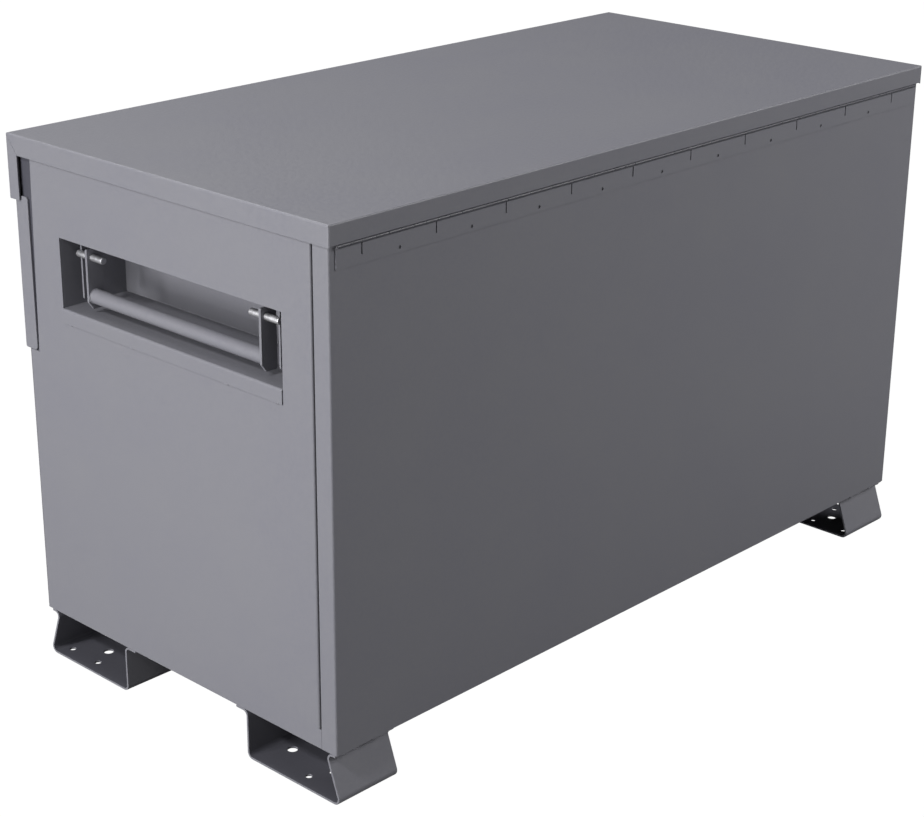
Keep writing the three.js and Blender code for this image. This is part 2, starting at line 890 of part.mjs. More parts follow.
function makeFoot() {
  const { inner, outerTop, outerBottom, innerFlange, outerFlange, top, length } = foot;
  const profile = strip([
    [outerTop + outerFlange, top],
    [outerTop - plate, top],
    [outerBottom - plate, plate],
    [inner + plate, plate],
    [inner + plate, top],
    [inner - innerFlange, top],
  ], plate, foot.bend, footBendSteps);
  const from = halfLength - length;
  const channel = prism('side', profile, from, halfLength);
  const centre = halfLength - length / 2;
  const bolts = [-1, 1].flatMap((across) => [-1, 1].map((along) => drill(
    'plan',
    centre + along * foot.boltSpacing / 2,
    outerBottom - foot.boltInset + across * foot.boltRow / 2,
    foot.boltRadius,
    0,
    plate,
  )));
  const drains = foot.drainInsets.map(
    (inset) => drill('plan', centre, outerBottom - inset, foot.drainRadius, 0, plate, roundSides),
  );
  return cut(channel, ...bolts, ...drains);
}

function makeFrontFoot() {
  return mirrorY(makeFoot()).translate(0, foot.frontShift, 0);
}

// Gas struts, drawn for the right end: pivoted on the body, open at the lid

function strutAlong() {
  return new THREE.Vector3(
    0,
    strut.lidPivotDepth - strut.bodyPivotDepth,
    strut.lidPivotHeight - strut.bodyPivotHeight,
  );
}

// Turns a piece drawn along +Y from the body pivot into the strut's line
function layStrut(geometry) {
  const along = strutAlong();
  geometry.rotateX(Math.atan2(along.z, along.y));
  geometry.translate(strut.place, strut.bodyPivotDepth, strut.bodyPivotHeight);
  return geometry;
}

function strutEye(along) {
  const half = strut.eyeThickness / 2;
  return disc('side', along, 0, strut.eyeRadius, -half, half, roundSides);
}

function strutEyeHole(along) {
  const half = strut.eyeThickness / 2;
  return drill('side', along, 0, strut.eyeHole, -half, half);
}

function makeCylinder() {
  const { cylinderRadius, cylinderBore, cylinderLength, cylinderWall } = strut;
  const { gland, fittingLength, neckRadius } = strut;
  const glandBore = strut.rodRadius + strut.rodClearance;
  const end = fittingLength + cylinderLength;
  const profile = toPoints([
    [0, strut.eyeHole + sheet],
    [neckRadius, strut.eyeHole + sheet],
    [neckRadius, fittingLength],
    [cylinderRadius, fittingLength],
    [cylinderRadius, end],
    [glandBore, end],
    [glandBore, end - gland],
    [cylinderBore, end - gland],
    [cylinderBore, fittingLength + cylinderWall],
    [0, fittingLength + cylinderWall],
  ]);
  const tube = toSolid(new THREE.LatheGeometry(profile, roundSides));
  const whole = cut(join(tube, strutEye(0)), strutEyeHole(0));
  return toSolid(layStrut(toGeometry(whole)));
}

function makeRod() {
  const { rodRadius, rodEngaged, pistonRadius, pistonLength, fittingLength, neckRadius } = strut;
  const length = strutAlong().length();
  const start = fittingLength + strut.cylinderLength - rodEngaged;
  const profile = toPoints([
    [0, start],
    [pistonRadius, start],
    [pistonRadius, start + pistonLength],
    [rodRadius, start + pistonLength],
    [rodRadius, length - fittingLength],
    [neckRadius, length - fittingLength],
    [neckRadius, length - strut.eyeHole - sheet],
    [0, length - strut.eyeHole - sheet],
  ]);
  const bar = toSolid(new THREE.LatheGeometry(profile, roundSides));
  const whole = cut(join(bar, strutEye(length)), strutEyeHole(length));
  return toSolid(layStrut(toGeometry(whole)));
}

function makeBodyBracket() {
  const { bracketPlace, bracketOuter, bracketFlange, bracketReach, bracketHalfLength } = strut;
  const face = backInner - seat;
  const height = strut.bodyPivotHeight;
  const bend = strip([
    [bracketOuter, strut.bodyPivotDepth - bracketReach],
    [bracketOuter, face],
    [bracketOuter - bracketFlange, face],
  ], plate, plate + sheet);
  const holeRadius = strut.studRadius + seat;
  const hole = drill('side', strut.bodyPivotDepth, height, holeRadius, bracketPlace, bracketOuter);
  return cut(prism('plan', bend, height - bracketHalfLength, height + bracketHalfLength), hole);
}

function makeLidBracket() {
  const { bracketPlace, bracketOuter, bracketFlange, bracketReach, bracketHalfLength } = strut;
  const face = lidUnderside - seat;
  const depth = strut.lidPivotDepth;
  const bend = strip([
    [bracketOuter, strut.lidPivotHeight - bracketReach],
    [bracketOuter, face],
    [bracketOuter - bracketFlange, face],
  ], plate, plate + sheet);
  const holeRadius = strut.studRadius + seat;
  const hole = drill('side', depth, strut.lidPivotHeight, holeRadius, bracketPlace, bracketOuter);
  return cut(prism('front', bend, depth - bracketHalfLength, depth + bracketHalfLength), hole);
}

function makeBodyStud() {
  const { studRadius, studHead, bodyPivotDepth, bodyPivotHeight } = strut;
  const headFace = strut.place - strut.eyeThickness / 2 - seat;
  const headEnd = headFace - strut.studHeadLength;
  const rivetEnd = strut.bracketOuter + strut.studRivet;
  return join(
    disc('side', bodyPivotDepth, bodyPivotHeight, studHead, headEnd, headFace),
    disc('side', bodyPivotDepth, bodyPivotHeight, studRadius, headEnd, rivetEnd),
  );
}

function makeLidStud() {
  const { studRadius, studRivet, bracketOuter, lidPivotDepth, lidPivotHeight } = strut;
  const tip = strut.place + strut.eyeThickness / 2 + strut.studEndGap;
  return disc('side', lidPivotDepth, lidPivotHeight, studRadius, tip, bracketOuter + studRivet);
}

// The box: every piece is placed about the body's centre, then the whole is centred in depth

const box = new THREE.Group();
const boxBack = hinge.axisDepth + hinge.barrelRadius * Math.cos(Math.PI / hingeSides);
box.position.y = -(lid.front + boxBack) / 2;

function add(name, solid, material) {
  const mesh = new THREE.Mesh(toGeometry(solid), material);
  mesh.name = name;
  box.add(mesh);
}

function addPair(name, solid, material) {
  add(`${name}_right`, solid, material);
  add(`${name}_left`, mirrorX(solid), material);
}

add('floor_pan', makeFloor(), paint);
add('back_panel', makeBackPanel(), paint);
add('front_panel', makeFrontPanel(), paint);
addPair('end_panel', makeEndPanel(), paint);
add('lock_guard', makeGuard(), paint);
addPair('lock_well', makeLockWell(lock.place), paint);
addPair('lock_eye', makeLockEye(lock.place), paint);
addPair('lid_hasp', makeLidHasp(lock.place), paint);

add('lid_pan', makeLidPan(), paint);
addPair('lid_stiffener', makeStiffener(stiffener.place), paint);

add('hinge_body_leaf', makeBodyLeaf(), paint);
add('hinge_lid_leaf', makeLidLeaf(), paint);
add('hinge_pin', makeHingePin(), zinc);

addPair('handle_pocket', makePocket(), paint);
addPair('handle_grip', makeGrip(), paint);
for (const [edge, side] of [['back', 1], ['front', -1]]) {
  addPair(`handle_arm_${edge}`, makeHandleArm(side), paint);
  addPair(`handle_pin_${edge}`, makeHandlePin(side), zinc);
  addPair(`pivot_ear_${edge}`, makePivotEar(side), paint);
  addPair(`skid_foot_${edge}`, side > 0 ? makeFoot() : makeFrontFoot(), paint);
}

addPair('strut_cylinder', makeCylinder(), black);
addPair('strut_rod', makeRod(), zinc);
addPair('strut_body_bracket', makeBodyBracket(), paint);
addPair('strut_body_stud', makeBodyStud(), zinc);
addPair('strut_lid_bracket', makeLidBracket(), paint);
addPair('strut_lid_stud', makeLidStud(), zinc);

export default box;
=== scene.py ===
import json
import math

import bmesh
import bpy
from mathutils import Matrix, Vector

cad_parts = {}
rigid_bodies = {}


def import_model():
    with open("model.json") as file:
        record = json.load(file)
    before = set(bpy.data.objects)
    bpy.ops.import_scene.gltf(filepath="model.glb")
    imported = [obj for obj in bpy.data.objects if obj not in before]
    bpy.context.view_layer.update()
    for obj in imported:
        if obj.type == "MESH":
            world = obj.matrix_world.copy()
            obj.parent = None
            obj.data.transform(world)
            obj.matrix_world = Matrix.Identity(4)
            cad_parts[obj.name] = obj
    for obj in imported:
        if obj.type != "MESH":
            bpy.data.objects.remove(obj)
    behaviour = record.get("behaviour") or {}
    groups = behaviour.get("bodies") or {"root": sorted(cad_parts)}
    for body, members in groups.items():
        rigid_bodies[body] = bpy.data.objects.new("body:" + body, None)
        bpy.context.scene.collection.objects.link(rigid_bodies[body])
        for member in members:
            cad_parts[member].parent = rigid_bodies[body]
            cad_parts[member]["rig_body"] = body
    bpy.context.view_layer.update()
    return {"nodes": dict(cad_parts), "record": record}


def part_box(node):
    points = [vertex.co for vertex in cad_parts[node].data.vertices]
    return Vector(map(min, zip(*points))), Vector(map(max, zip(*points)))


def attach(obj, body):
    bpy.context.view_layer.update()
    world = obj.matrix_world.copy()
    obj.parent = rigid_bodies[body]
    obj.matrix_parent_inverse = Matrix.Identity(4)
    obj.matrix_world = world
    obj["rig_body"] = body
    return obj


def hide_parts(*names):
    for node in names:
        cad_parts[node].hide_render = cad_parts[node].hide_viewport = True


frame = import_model()
mm = 0.001
sideNames = ("right", "left")
edgeNames = ("back", "front")
print("Frame loaded:", len(frame["nodes"]), "nodes")


# Camera at the photograph's viewing angle

photoCamera = {
    "azimuth": 43.433,
    "elevation": 21.13,
    "roll": 0.424,
    "lens": 81.395,
    "sensor": 36,
    "farClip": 100,
    "place": (2.1389, 1.96038, 1.4019),
}


def makeCamera(values):
    turn = math.radians(values["azimuth"])
    rise = math.radians(values["elevation"])
    roll = math.radians(values["roll"])
    back = Vector((math.cos(turn) * math.cos(rise), math.sin(turn) * math.cos(rise), math.sin(rise)))
    level = Vector((-math.sin(turn), math.cos(turn), 0))
    upward = back.cross(level)
    right = level * math.cos(roll) + upward * math.sin(roll)
    up = upward * math.cos(roll) - level * math.sin(roll)
    camera = bpy.data.objects.new("photoCamera", bpy.data.cameras.new("photoCamera"))
    bpy.context.scene.collection.objects.link(camera)
    camera.data.sensor_width = values["sensor"]
    camera.data.lens = values["lens"]
    camera.data.clip_end = values["farClip"]
    axes = Matrix((right, up, back)).transposed().to_4x4()
    camera.matrix_world = Matrix.Translation(values["place"]) @ axes
    bpy.context.scene.camera = camera


makeCamera(photoCamera)


# Helpers for node trees

def addNode(tree, kind, inputs=None, **settings):
    node = tree.nodes.new(kind)
    for key, value in settings.items():
        setattr(node, key, value)
    for key, value in (inputs or {}).items():
        if isinstance(value, bpy.types.NodeSocket):
            tree.links.new(value, node.inputs[key])
        else:
            node.inputs[key].default_value = value
    return node


def newGroup(name, kind, inputs, outputs):
    tree = bpy.data.node_groups.new(name, kind)
    for label, socketType, value in inputs:
        socket = tree.interface.new_socket(label, in_out="INPUT", socket_type=socketType)
        if value is not None:
            socket.default_value = value
    for label, socketType in outputs:
        tree.interface.new_socket(label, in_out="OUTPUT", socket_type=socketType)
    return tree, tree.nodes.new("NodeGroupInput").outputs, tree.nodes.new("NodeGroupOutput").inputs


def placeGroup(tree, group, inputs):
    return addNode(tree, "ShaderNodeGroup", inputs, node_tree=group).outputs


def mixColour(tree, factor, first, second):
    return addNode(tree, "ShaderNodeMix", {0: factor, 6: first, 7: second}, data_type="RGBA").outputs[2]


def mapRange(tree, value, low, high, fromLow=0.0, fromHigh=1.0):
    return addNode(tree, "ShaderNodeMapRange", {
        "Value": value, "From Min": fromLow, "From Max": fromHigh, "To Min": low, "To Max": high,
    }).outputs["Result"]


def calculate(tree, operation, first, second):
    return addNode(tree, "ShaderNodeMath", {0: first, 1: second}, operation=operation).outputs[0]


def noise(tree, vector, scale, detail, roughness):
    return addNode(tree, "ShaderNodeTexNoise", {
        "Vector": vector, "Scale": scale, "Detail": detail, "Roughness": roughness,
    }).outputs[0]


# Shared effects: sprayed surface, edges, and fine scratches

sprayValues = {
    "cloudScale": 7.0, "cloudLimits": (0.3, 0.7),
    "speckScale": 190.0, "speckLimits": (0.35, 0.65),
}


def makeSprayGroup(values):
    tree, entry, leave = newGroup("Sprayed surface", "ShaderNodeTree", [
        ("Vector", "NodeSocketVector", None),
        ("Peel Scale", "NodeSocketFloat", 620.0),
        ("Peel Depth", "NodeSocketFloat", 0.00002),
        ("Wave Scale", "NodeSocketFloat", 2.6),
        ("Wave Depth", "NodeSocketFloat", 0.0008),
    ], [
        ("Height", "NodeSocketFloat"),
        ("Cloud", "NodeSocketFloat"),
        ("Speck", "NodeSocketFloat"),
    ])
    peel = noise(tree, entry["Vector"], entry["Peel Scale"], detail=2.0, roughness=0.5)
    wave = noise(tree, entry["Vector"], entry["Wave Scale"], detail=1.0, roughness=0.4)
    cloud = noise(tree, entry["Vector"], values["cloudScale"], detail=4.0, roughness=0.55)
    speck = noise(tree, entry["Vector"], values["speckScale"], detail=3.0, roughness=0.7)
    fine = calculate(tree, "MULTIPLY", peel, entry["Peel Depth"])
    broad = calculate(tree, "MULTIPLY", wave, entry["Wave Depth"])
    tree.links.new(calculate(tree, "ADD", fine, broad), leave["Height"])
    tree.links.new(mapRange(tree, cloud, 0.0, 1.0, *values["cloudLimits"]), leave["Cloud"])
    tree.links.new(mapRange(tree, speck, 0.0, 1.0, *values["speckLimits"]), leave["Speck"])
    return tree


edgeValues = {
    "turnLimits": (0.72, 0.99), "breakupLimits": (0.35, 0.65), "leastKept": 0.35, "samples": 4,
}


def makeEdgeGroup(values):
    tree, entry, leave = newGroup("Worn and highlighted edge", "ShaderNodeTree", [
        ("Vector", "NodeSocketVector", None),
        ("Radius", "NodeSocketFloat", 0.0012),
        ("Breakup Scale", "NodeSocketFloat", 60.0),
    ], [("Mask", "NodeSocketFloat")])
    # The mask finds turned edges; the lighter tone it brings is partly wear and partly a painted
    # highlight
    rounded = addNode(tree, "ShaderNodeBevel", {"Radius": entry["Radius"]}, samples=values["samples"])
    surface = addNode(tree, "ShaderNodeNewGeometry")
    alike = addNode(tree, "ShaderNodeVectorMath", {
        0: rounded.outputs[0], 1: surface.outputs["Normal"],
    }, operation="DOT_PRODUCT").outputs["Value"]
    turned = mapRange(tree, alike, 1.0, 0.0, *values["turnLimits"])
    breakup = noise(tree, entry["Vector"], entry["Breakup Scale"], detail=3.0, roughness=0.6)
    kept = mapRange(tree, breakup, values["leastKept"], 1.0, *values["breakupLimits"])
    tree.links.new(calculate(tree, "MULTIPLY", turned, kept), leave["Mask"])
    return tree


scratchValues = {"turn": (0.3, 0.5, 0.9), "stretch": (1.0, 14.0, 14.0), "limit": 0.78}


def makeScratchGroup(values):
    tree, entry, leave = newGroup("Fine scratches", "ShaderNodeTree", [
        ("Vector", "NodeSocketVector", None),
        ("Scale", "NodeSocketFloat", 40.0),
        ("Share", "NodeSocketFloat", 0.1),
    ], [("Mask", "NodeSocketFloat")])
    stretched = addNode(tree, "ShaderNodeMapping", {
        "Vector": entry["Vector"], "Rotation": values["turn"], "Scale": values["stretch"],
    }).outputs[0]
    lines = noise(tree, stretched, entry["Scale"], detail=4.0, roughness=0.7)
    limit = calculate(tree, "SUBTRACT", values["limit"], entry["Share"])
    tree.links.new(calculate(tree, "GREATER_THAN", lines, limit), leave["Mask"])
    return tree


sprayGroup = makeSprayGroup(sprayValues)
edgeGroup = makeEdgeGroup(edgeValues)
scratchGroup = makeScratchGroup(scratchValues)


# Finishes

def startFinish(name):
    material = bpy.data.materials.new(name)
    material.use_nodes = True
    tree = material.node_tree
    place = addNode(tree, "ShaderNodeTexCoord").outputs["Object"]
    return material, tree, tree.nodes["Principled BSDF"], place


def closeFinish(tree, shader, spray, colour, values):
    low, high = values["roughness"]
    bump = addNode(tree, "ShaderNodeBump", {
        "Height": spray["Height"], "Strength": 1.0, "Distance": 1.0,
    })
    tree.links.new(colour, shader.inputs["Base Color"])
    tree.links.new(mapRange(tree, spray["Speck"], low, high), shader.inputs["Roughness"])
    tree.links.new(bump.outputs[0], shader.inputs["Normal"])


# Paint: clouds, then specks, edges lighter with wear and a painted highlight, scratches, and painted
# shade where a mesh marks it
def makePowderCoat(name, values):
    material, tree, shader, place = startFinish(name)
    shader.inputs["Specular IOR Level"].default_value = values["specular"]
    spray = placeGroup(tree, sprayGroup, {
        "Vector": place, "Peel Depth": values["peelDepth"], "Wave Depth": values["waveDepth"],
    })
    wornAndLit = placeGroup(tree, edgeGroup, {"Vector": place, "Radius": values["edgeRadius"]})
    scratched = placeGroup(tree, scratchGroup, {"Vector": place, "Share": values["scratchShare"]})
    painted_shade = addNode(tree, "ShaderNodeAttribute", attribute_name="painted_shade").outputs["Fac"]
    speckMask = calculate(tree, "MULTIPLY", spray["Speck"], values["speckShare"])
    edgeMask = calculate(tree, "MULTIPLY", wornAndLit["Mask"], values["edgeShare"])
    scratchMask = calculate(tree, "MULTIPLY", scratched["Mask"], values["scratchStrength"])
    colour = mixColour(tree, spray["Cloud"], values["coolTone"], values["warmTone"])
    colour = mixColour(tree, speckMask, colour, values["speckTone"])
    # Turned edges are lighter: partly wear, partly a painted highlight
    colour = mixColour(tree, edgeMask, colour, values["wearAndHighlightTone"])
    colour = mixColour(tree, scratchMask, colour, values["wearAndHighlightTone"])
    # Painted shade: a darker tone on the faces that a mesh marks, such as end panel margins, foot
    # channels and hinge knuckles
    colour = mixColour(tree, painted_shade, colour, values["paintedShadeTone"])
    closeFinish(tree, shader, spray, colour, values)
    return material


def makePlatedSteel(name, values):
    material, tree, shader, place = startFinish(name)
    shader.inputs["Metallic"].default_value = values["metallic"]
    spray = placeGroup(tree, sprayGroup, {
        "Vector": place, "Peel Scale": values["peelScale"], "Peel Depth": values["peelDepth"],
        "Wave Depth": 0.0,
    })
    scratched = placeGroup(tree, scratchGroup, {
        "Vector": place, "Scale": values["scratchScale"], "Share": values["scratchShare"],
    })
    scratchMask = calculate(tree, "MULTIPLY", scratched["Mask"], values["scratchStrength"])
    colour = mixColour(tree, spray["Cloud"], values["darkTone"], values["lightTone"])
    colour = mixColour(tree, scratchMask, colour, values["scratchTone"])
    closeFinish(tree, shader, spray, colour, values)
    return material


greyPaint = makePowderCoat("greyPowderCoat", {
    "coolTone": (0.167, 0.167, 0.193, 1),
    "warmTone": (0.175, 0.175, 0.196, 1),
    "speckTone": (0.200, 0.198, 0.215, 1),
    "speckShare": 0.35,
    # Lighter edge tone: partly wear, partly a painted highlight
    "wearAndHighlightTone": (0.330, 0.330, 0.350, 1),
    "edgeShare": 0.1,
    "edgeRadius": 0.0011,
    # Darker tone of the painted shade
    "paintedShadeTone": (0.052, 0.052, 0.066, 1),
    "scratchShare": 0.02,
    "scratchStrength": 0.25,
    "peelDepth": 0.000012,
    "waveDepth": 0.0012,
    "roughness": (0.40, 0.52),
    "specular": 0.5,
})
blackPaint = makePowderCoat("blackEnamel", {
    "coolTone": (0.012, 0.012, 0.013, 1),
    "warmTone": (0.017, 0.016, 0.016, 1),
    "speckTone": (0.030, 0.030, 0.032, 1),
    "speckShare": 0.35,
    # Lighter edge tone: partly wear, partly a painted highlight
    "wearAndHighlightTone": (0.110, 0.110, 0.115, 1),
    "edgeShare": 0.5,
    "edgeRadius": 0.0006,
    # Darker tone of the painted shade
    "paintedShadeTone": (0.012, 0.012, 0.013, 1),
    "scratchShare": 0.05,
    "scratchStrength": 0.25,
    "peelDepth": 0.000006,
    "waveDepth": 0.0,
    "roughness": (0.22, 0.34),
    "specular": 0.5,
})
zincSteel = makePlatedSteel("zincPlatedSteel", {
    "metallic": 1.0,
    "darkTone": (0.50, 0.50, 0.53, 1),
    "lightTone": (0.66, 0.66, 0.68, 1),
    "scratchTone": (0.80, 0.80, 0.80, 1),
    "scratchScale": 90.0,
    "scratchShare": 0.08,
    "scratchStrength": 0.4,
    "peelScale": 240.0,
    "peelDepth": 0.00001,
    "roughness": (0.42, 0.56),
})
finishes = {"body_paint": greyPaint, "zinc_steel": zincSteel, "black_paint": blackPaint}
slotOf = {part["node"]: part["material_slot"] for part in frame["record"]["subparts"]}
print("Materials made")


# Mesh helpers

def finishPiece(piece, body, slotName, *nodes):
    piece.data.materials.clear()
    piece.data.materials.append(finishes[slotName])
    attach(piece, body)
    if nodes:
        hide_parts(*nodes)


def newPiece(name, shape):
    mesh = bpy.data.meshes.new(name)
    shape.to_mesh(mesh)
    shape.free()
    mesh.shade_smooth()
    piece = bpy.data.objects.new(name, mesh)
    bpy.context.scene.collection.objects.link(piece)
    return piece


edgeRounding = {"segments": 2, "sharpAbove": 35, "flatWeight": 80}


def roundEdges(piece, width, segments=edgeRounding["segments"], sharpAbove=edgeRounding["sharpAbove"]):
    bevel = piece.modifiers.new("edges", "BEVEL")
    bevel.width = width
    bevel.segments = segments
    bevel.limit_method = "ANGLE"
    bevel.angle_limit = math.radians(sharpAbove)
    bevel.use_clamp_overlap = False
    weighted = piece.modifiers.new("flats", "WEIGHTED_NORMAL")
    weighted.mode = "FACE_AREA"
    weighted.weight = edgeRounding["flatWeight"]
    weighted.keep_sharp = False


# The profile turned about a line: pairs of (place along the line, radius); a hollow profile is closed
def turnProfile(shape, start, direction, profile, sides, hollow=False):
    start, direction = Vector(start), Vector(direction).normalized()
    first = direction.orthogonal().normalized()
    second = direction.cross(first)
    rings = []
    for along, radius in profile:
        centre = start + direction * along
        if radius == 0:
            rings.append([shape.verts.new(centre)])
            continue
        rings.append([
            shape.verts.new(centre + (first * math.cos(angle) + second * math.sin(angle)) * radius)
            for angle in (2 * math.pi * step / sides for step in range(sides))
        ])
    pairs = list(zip(rings, rings[1:]))
    if hollow:
        pairs.append((rings[-1], rings[0]))
    for near, far in pairs:
        for step in range(sides):
            after = (step + 1) % sides
            corners = [
                near[step % len(near)], near[after % len(near)],
                far[after % len(far)], far[step % len(far)],
            ]
            corners = [corner for index, corner in enumerate(corners) if corner not in corners[:index]]
            if len(corners) > 2:
                shape.faces.new(corners)
    bmesh.ops.recalc_face_normals(shape, faces=shape.faces)


# Profile of a round bar with rounded rims; a tube's profile starts at its bore
def barProfile(length, radius, chamfer, bore=0, rimSteps=4):
    profile = [(0, bore), (0, radius - chamfer)]
    for step in range(1, rimSteps):
        angle = math.pi / 2 * step / rimSteps
        profile.append((chamfer * (1 - math.cos(angle)), radius - chamfer + chamfer * math.sin(angle)))
    profile.append((chamfer, radius))
    return profile + [(length - along, ring) for along, ring in reversed(profile)]


# Sheet and plate: every bent or cut piece keeps its packed form, and gets rounded edges

sheetValues = {"mergeReach": 0.002 * mm, "flatBelow": 0.6}
sheetEdges = {
    "thin": {"width": 0.25 * mm, "nodes": (
        "floor_pan", "back_panel", "front_panel", "end_panel_right", "end_panel_left",
        "lock_well_right", "lock_well_left", "lid_pan", "lid_stiffener_right", "lid_stiffener_left",
        "handle_pocket_right", "handle_pocket_left",
    )},
    "plate": {"width": 0.5 * mm, "nodes": (
        "lock_guard", "lock_eye_right", "lock_eye_left", "lid_hasp_right", "lid_hasp_left",
        "handle_arm_back_right", "handle_arm_back_left", "handle_arm_front_right",
        "handle_arm_front_left", "pivot_ear_back_right", "pivot_ear_back_left",
        "pivot_ear_front_right", "pivot_ear_front_left", "skid_foot_back_right",
        "skid_foot_back_left", "skid_foot_front_right", "skid_foot_front_left",
        "strut_body_bracket_right", "strut_body_bracket_left", "strut_lid_bracket_right",
        "strut_lid_bracket_left",
    )},
    "strut": {"width": 0.3 * mm, "nodes": (
        "strut_cylinder_right", "strut_cylinder_left", "strut_rod_right", "strut_rod_left",
    )},
}
marginValues = {"inward": (0.2 * mm, 4.2 * mm), "facing": 0.3}
channelValues = {"facing": 0.3, "wallShade": 0.55, "soleShade": 0.75, "soleHeight": 12 * mm}


# Paints shade on the front margin of an end panel, which lies a step deeper than the panel
def paintMarginShade(shape, low, high):
    shadeLayer = shape.faces.layers.float.new("painted_shade")
    nearest, deepest = marginValues["inward"]
    outer = high.x if high.x > 0 else low.x
    side = math.copysign(1, outer)
    for face in shape.faces:
        place = face.calc_center_median()
        inward = abs(outer) - place.x * side
        if place.y < 0 and nearest < inward < deepest and face.normal.x * side > marginValues["facing"]:
            face[shadeLayer] = 1.0


# Paints shade on the faces inside a foot's channel
def paintChannelShade(shape, low, high):
    shadeLayer = shape.faces.layers.float.new("painted_shade")
    middle = (low.y + high.y) / 2
    facing = channelValues["facing"]
    for face in shape.faces:
        place = face.calc_center_median()
        wall = face.normal.y * (middle - place.y) > 0 and abs(face.normal.y) > facing
        sole = place.z < low.z + channelValues["soleHeight"] and face.normal.z > facing
        if wall or sole:
            face[shadeLayer] = channelValues["soleShade" if sole else "wallShade"]


def mergedCopy(name):
    shape = bmesh.new()
    shape.from_mesh(frame["nodes"][name].data)
    bmesh.ops.remove_doubles(shape, verts=shape.verts, dist=sheetValues["mergeReach"])
    return shape


def dressNode(name, width):
    shape = mergedCopy(name)
    flatBelow = math.radians(sheetValues["flatBelow"])
    bmesh.ops.dissolve_limit(shape, angle_limit=flatBelow, verts=shape.verts[:], edges=shape.edges[:])
    if name.startswith("end_panel"):
        paintMarginShade(shape, *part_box(name))
    if name.startswith("skid_foot"):
        paintChannelShade(shape, *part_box(name))
    piece = newPiece(name + "_dressed", shape)
    roundEdges(piece, width)
    finishPiece(piece, frame["nodes"][name]["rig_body"], slotOf[name], name)


# The hinge leaves keep their crisp punched edges; only their knuckles are smooth, and darker with
# painted shade
hingeValues = {
    "nodes": ("hinge_body_leaf", "hinge_lid_leaf"),
    "knuckleRadius": 2.6 * mm,
    "endFace": 0.5,
    "smoothBelow": 50,
    "paintedKnuckleShade": 0.9,
}


def dressLeaf(name):
    low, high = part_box("hinge_pin")
    axis = (low + high) / 2
    piece = newPiece(name + "_dressed", mergedCopy(name))
    piece.data.set_sharp_from_angle(angle=math.radians(hingeValues["smoothBelow"]))
    knuckleShadeLayer = piece.data.attributes.new("painted_shade", "FLOAT", "FACE")
    for face in piece.data.polygons:
        away = math.hypot(face.center.y - axis.y, face.center.z - axis.z)
        # Knuckle faces get painted shade
        knuckle = away < hingeValues["knuckleRadius"] and abs(face.normal.x) < hingeValues["endFace"]
        face.use_smooth = knuckle
        knuckleShadeLayer.data[face.index].value = hingeValues["paintedKnuckleShade"] if knuckle else 0.0
    finishPiece(piece, frame["nodes"][name]["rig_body"], slotOf[name], name)


for group in sheetEdges.values():
    for name in group["nodes"]:
        dressNode(name, group["width"])
for name in hingeValues["nodes"]:
    dressLeaf(name)
print("Sheet metal dressed")


# Grip tube of a drop handle

gripValues = {
    "radius": 10.1 * mm, "bore": 8.0 * mm, "chamfer": 1.1 * mm, "sides": 64,
    "rounding": (0.3 * mm, 2, 50),
}


def makeGrip(side):
    node = f"handle_grip_{side}"
    low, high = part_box(node)
    centre = (low + high) / 2
    values = gripValues
    profile = barProfile(high.y - low.y, values["radius"], values["chamfer"], values["bore"])
    shape = bmesh.new()
    turnProfile(shape, (centre.x, low.y, centre.z), (0, 1, 0), profile, values["sides"], hollow=True)
    piece = newPiece(f"grip_tube_{side}", shape)
    roundEdges(piece, *values["rounding"])
    finishPiece(piece, f"handle_{side}", slotOf[node], node)


# Pivot pin of a drop handle, as long and as thick as its node

pinValues = {"chamfer": 1.2 * mm, "sides": 40, "rounding": (0.15 * mm, 1, 50)}


def makePivotPin(side, edge):
    node = f"handle_pin_{edge}_{side}"
    low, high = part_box(node)
    centre = (low + high) / 2
    profile = barProfile(high.y - low.y, (high.z - low.z) / 2, pinValues["chamfer"])
    shape = bmesh.new()
    turnProfile(shape, (centre.x, low.y, centre.z), (0, 1, 0), profile, pinValues["sides"])
    piece = newPiece(f"pivot_pin_{edge}_{side}", shape)
    roundEdges(piece, *pinValues["rounding"])
    finishPiece(piece, "body", slotOf[node], node)


# Hinge pin, inside the knuckles

hingePinValues = {"radius": 0.95 * mm, "chamfer": 0.3 * mm, "sides": 20}


def makeHingePin():
    low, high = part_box("hinge_pin")
    centre = (low + high) / 2
    profile = barProfile(high.x - low.x, hingePinValues["radius"], hingePinValues["chamfer"])
    shape = bmesh.new()
    turnProfile(shape, (low.x, centre.y, centre.z), (1, 0, 0), profile, hingePinValues["sides"])
    piece = newPiece("hinge_pin_bar", shape)
    finishPiece(piece, "body", slotOf["hinge_pin"], "hinge_pin")


# Strut stud with its rivet end in the bracket; only the body's stud has a head

studValues = {
    "radius": 3.85 * mm, "chamfer": 0.6 * mm, "headRadius": 6.4 * mm, "headLength": 3 * mm,
    "sides": 40, "rounding": (0.12 * mm, 1, 50),
}


def makeStud(part, side):
    node = f"strut_{part}_stud_{side}"
    low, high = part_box(node)
    centre = (low + high) / 2
    direction = 1 if centre.x > 0 else -1
    tip = low.x if direction > 0 else high.x
    values = studValues
    profile = barProfile(high.x - low.x, values["radius"], values["chamfer"])
    if part == "body":
        head, length, chamfer = values["headRadius"], values["headLength"], values["chamfer"]
        rest = [pair for pair in profile if pair[0] > length]
        profile = [
            (0, 0), (0, head - 2 * chamfer), (chamfer, head), (length - chamfer / 2, head),
            (length, head - chamfer / 2), (length, values["radius"]),
        ] + rest
    shape = bmesh.new()
    turnProfile(shape, (tip, centre.y, centre.z), (direction, 0, 0), profile, values["sides"])
    piece = newPiece(f"ball_stud_{part}_{side}", shape)
    roundEdges(piece, *values["rounding"])
    finishPiece(piece, part, slotOf[node], node)


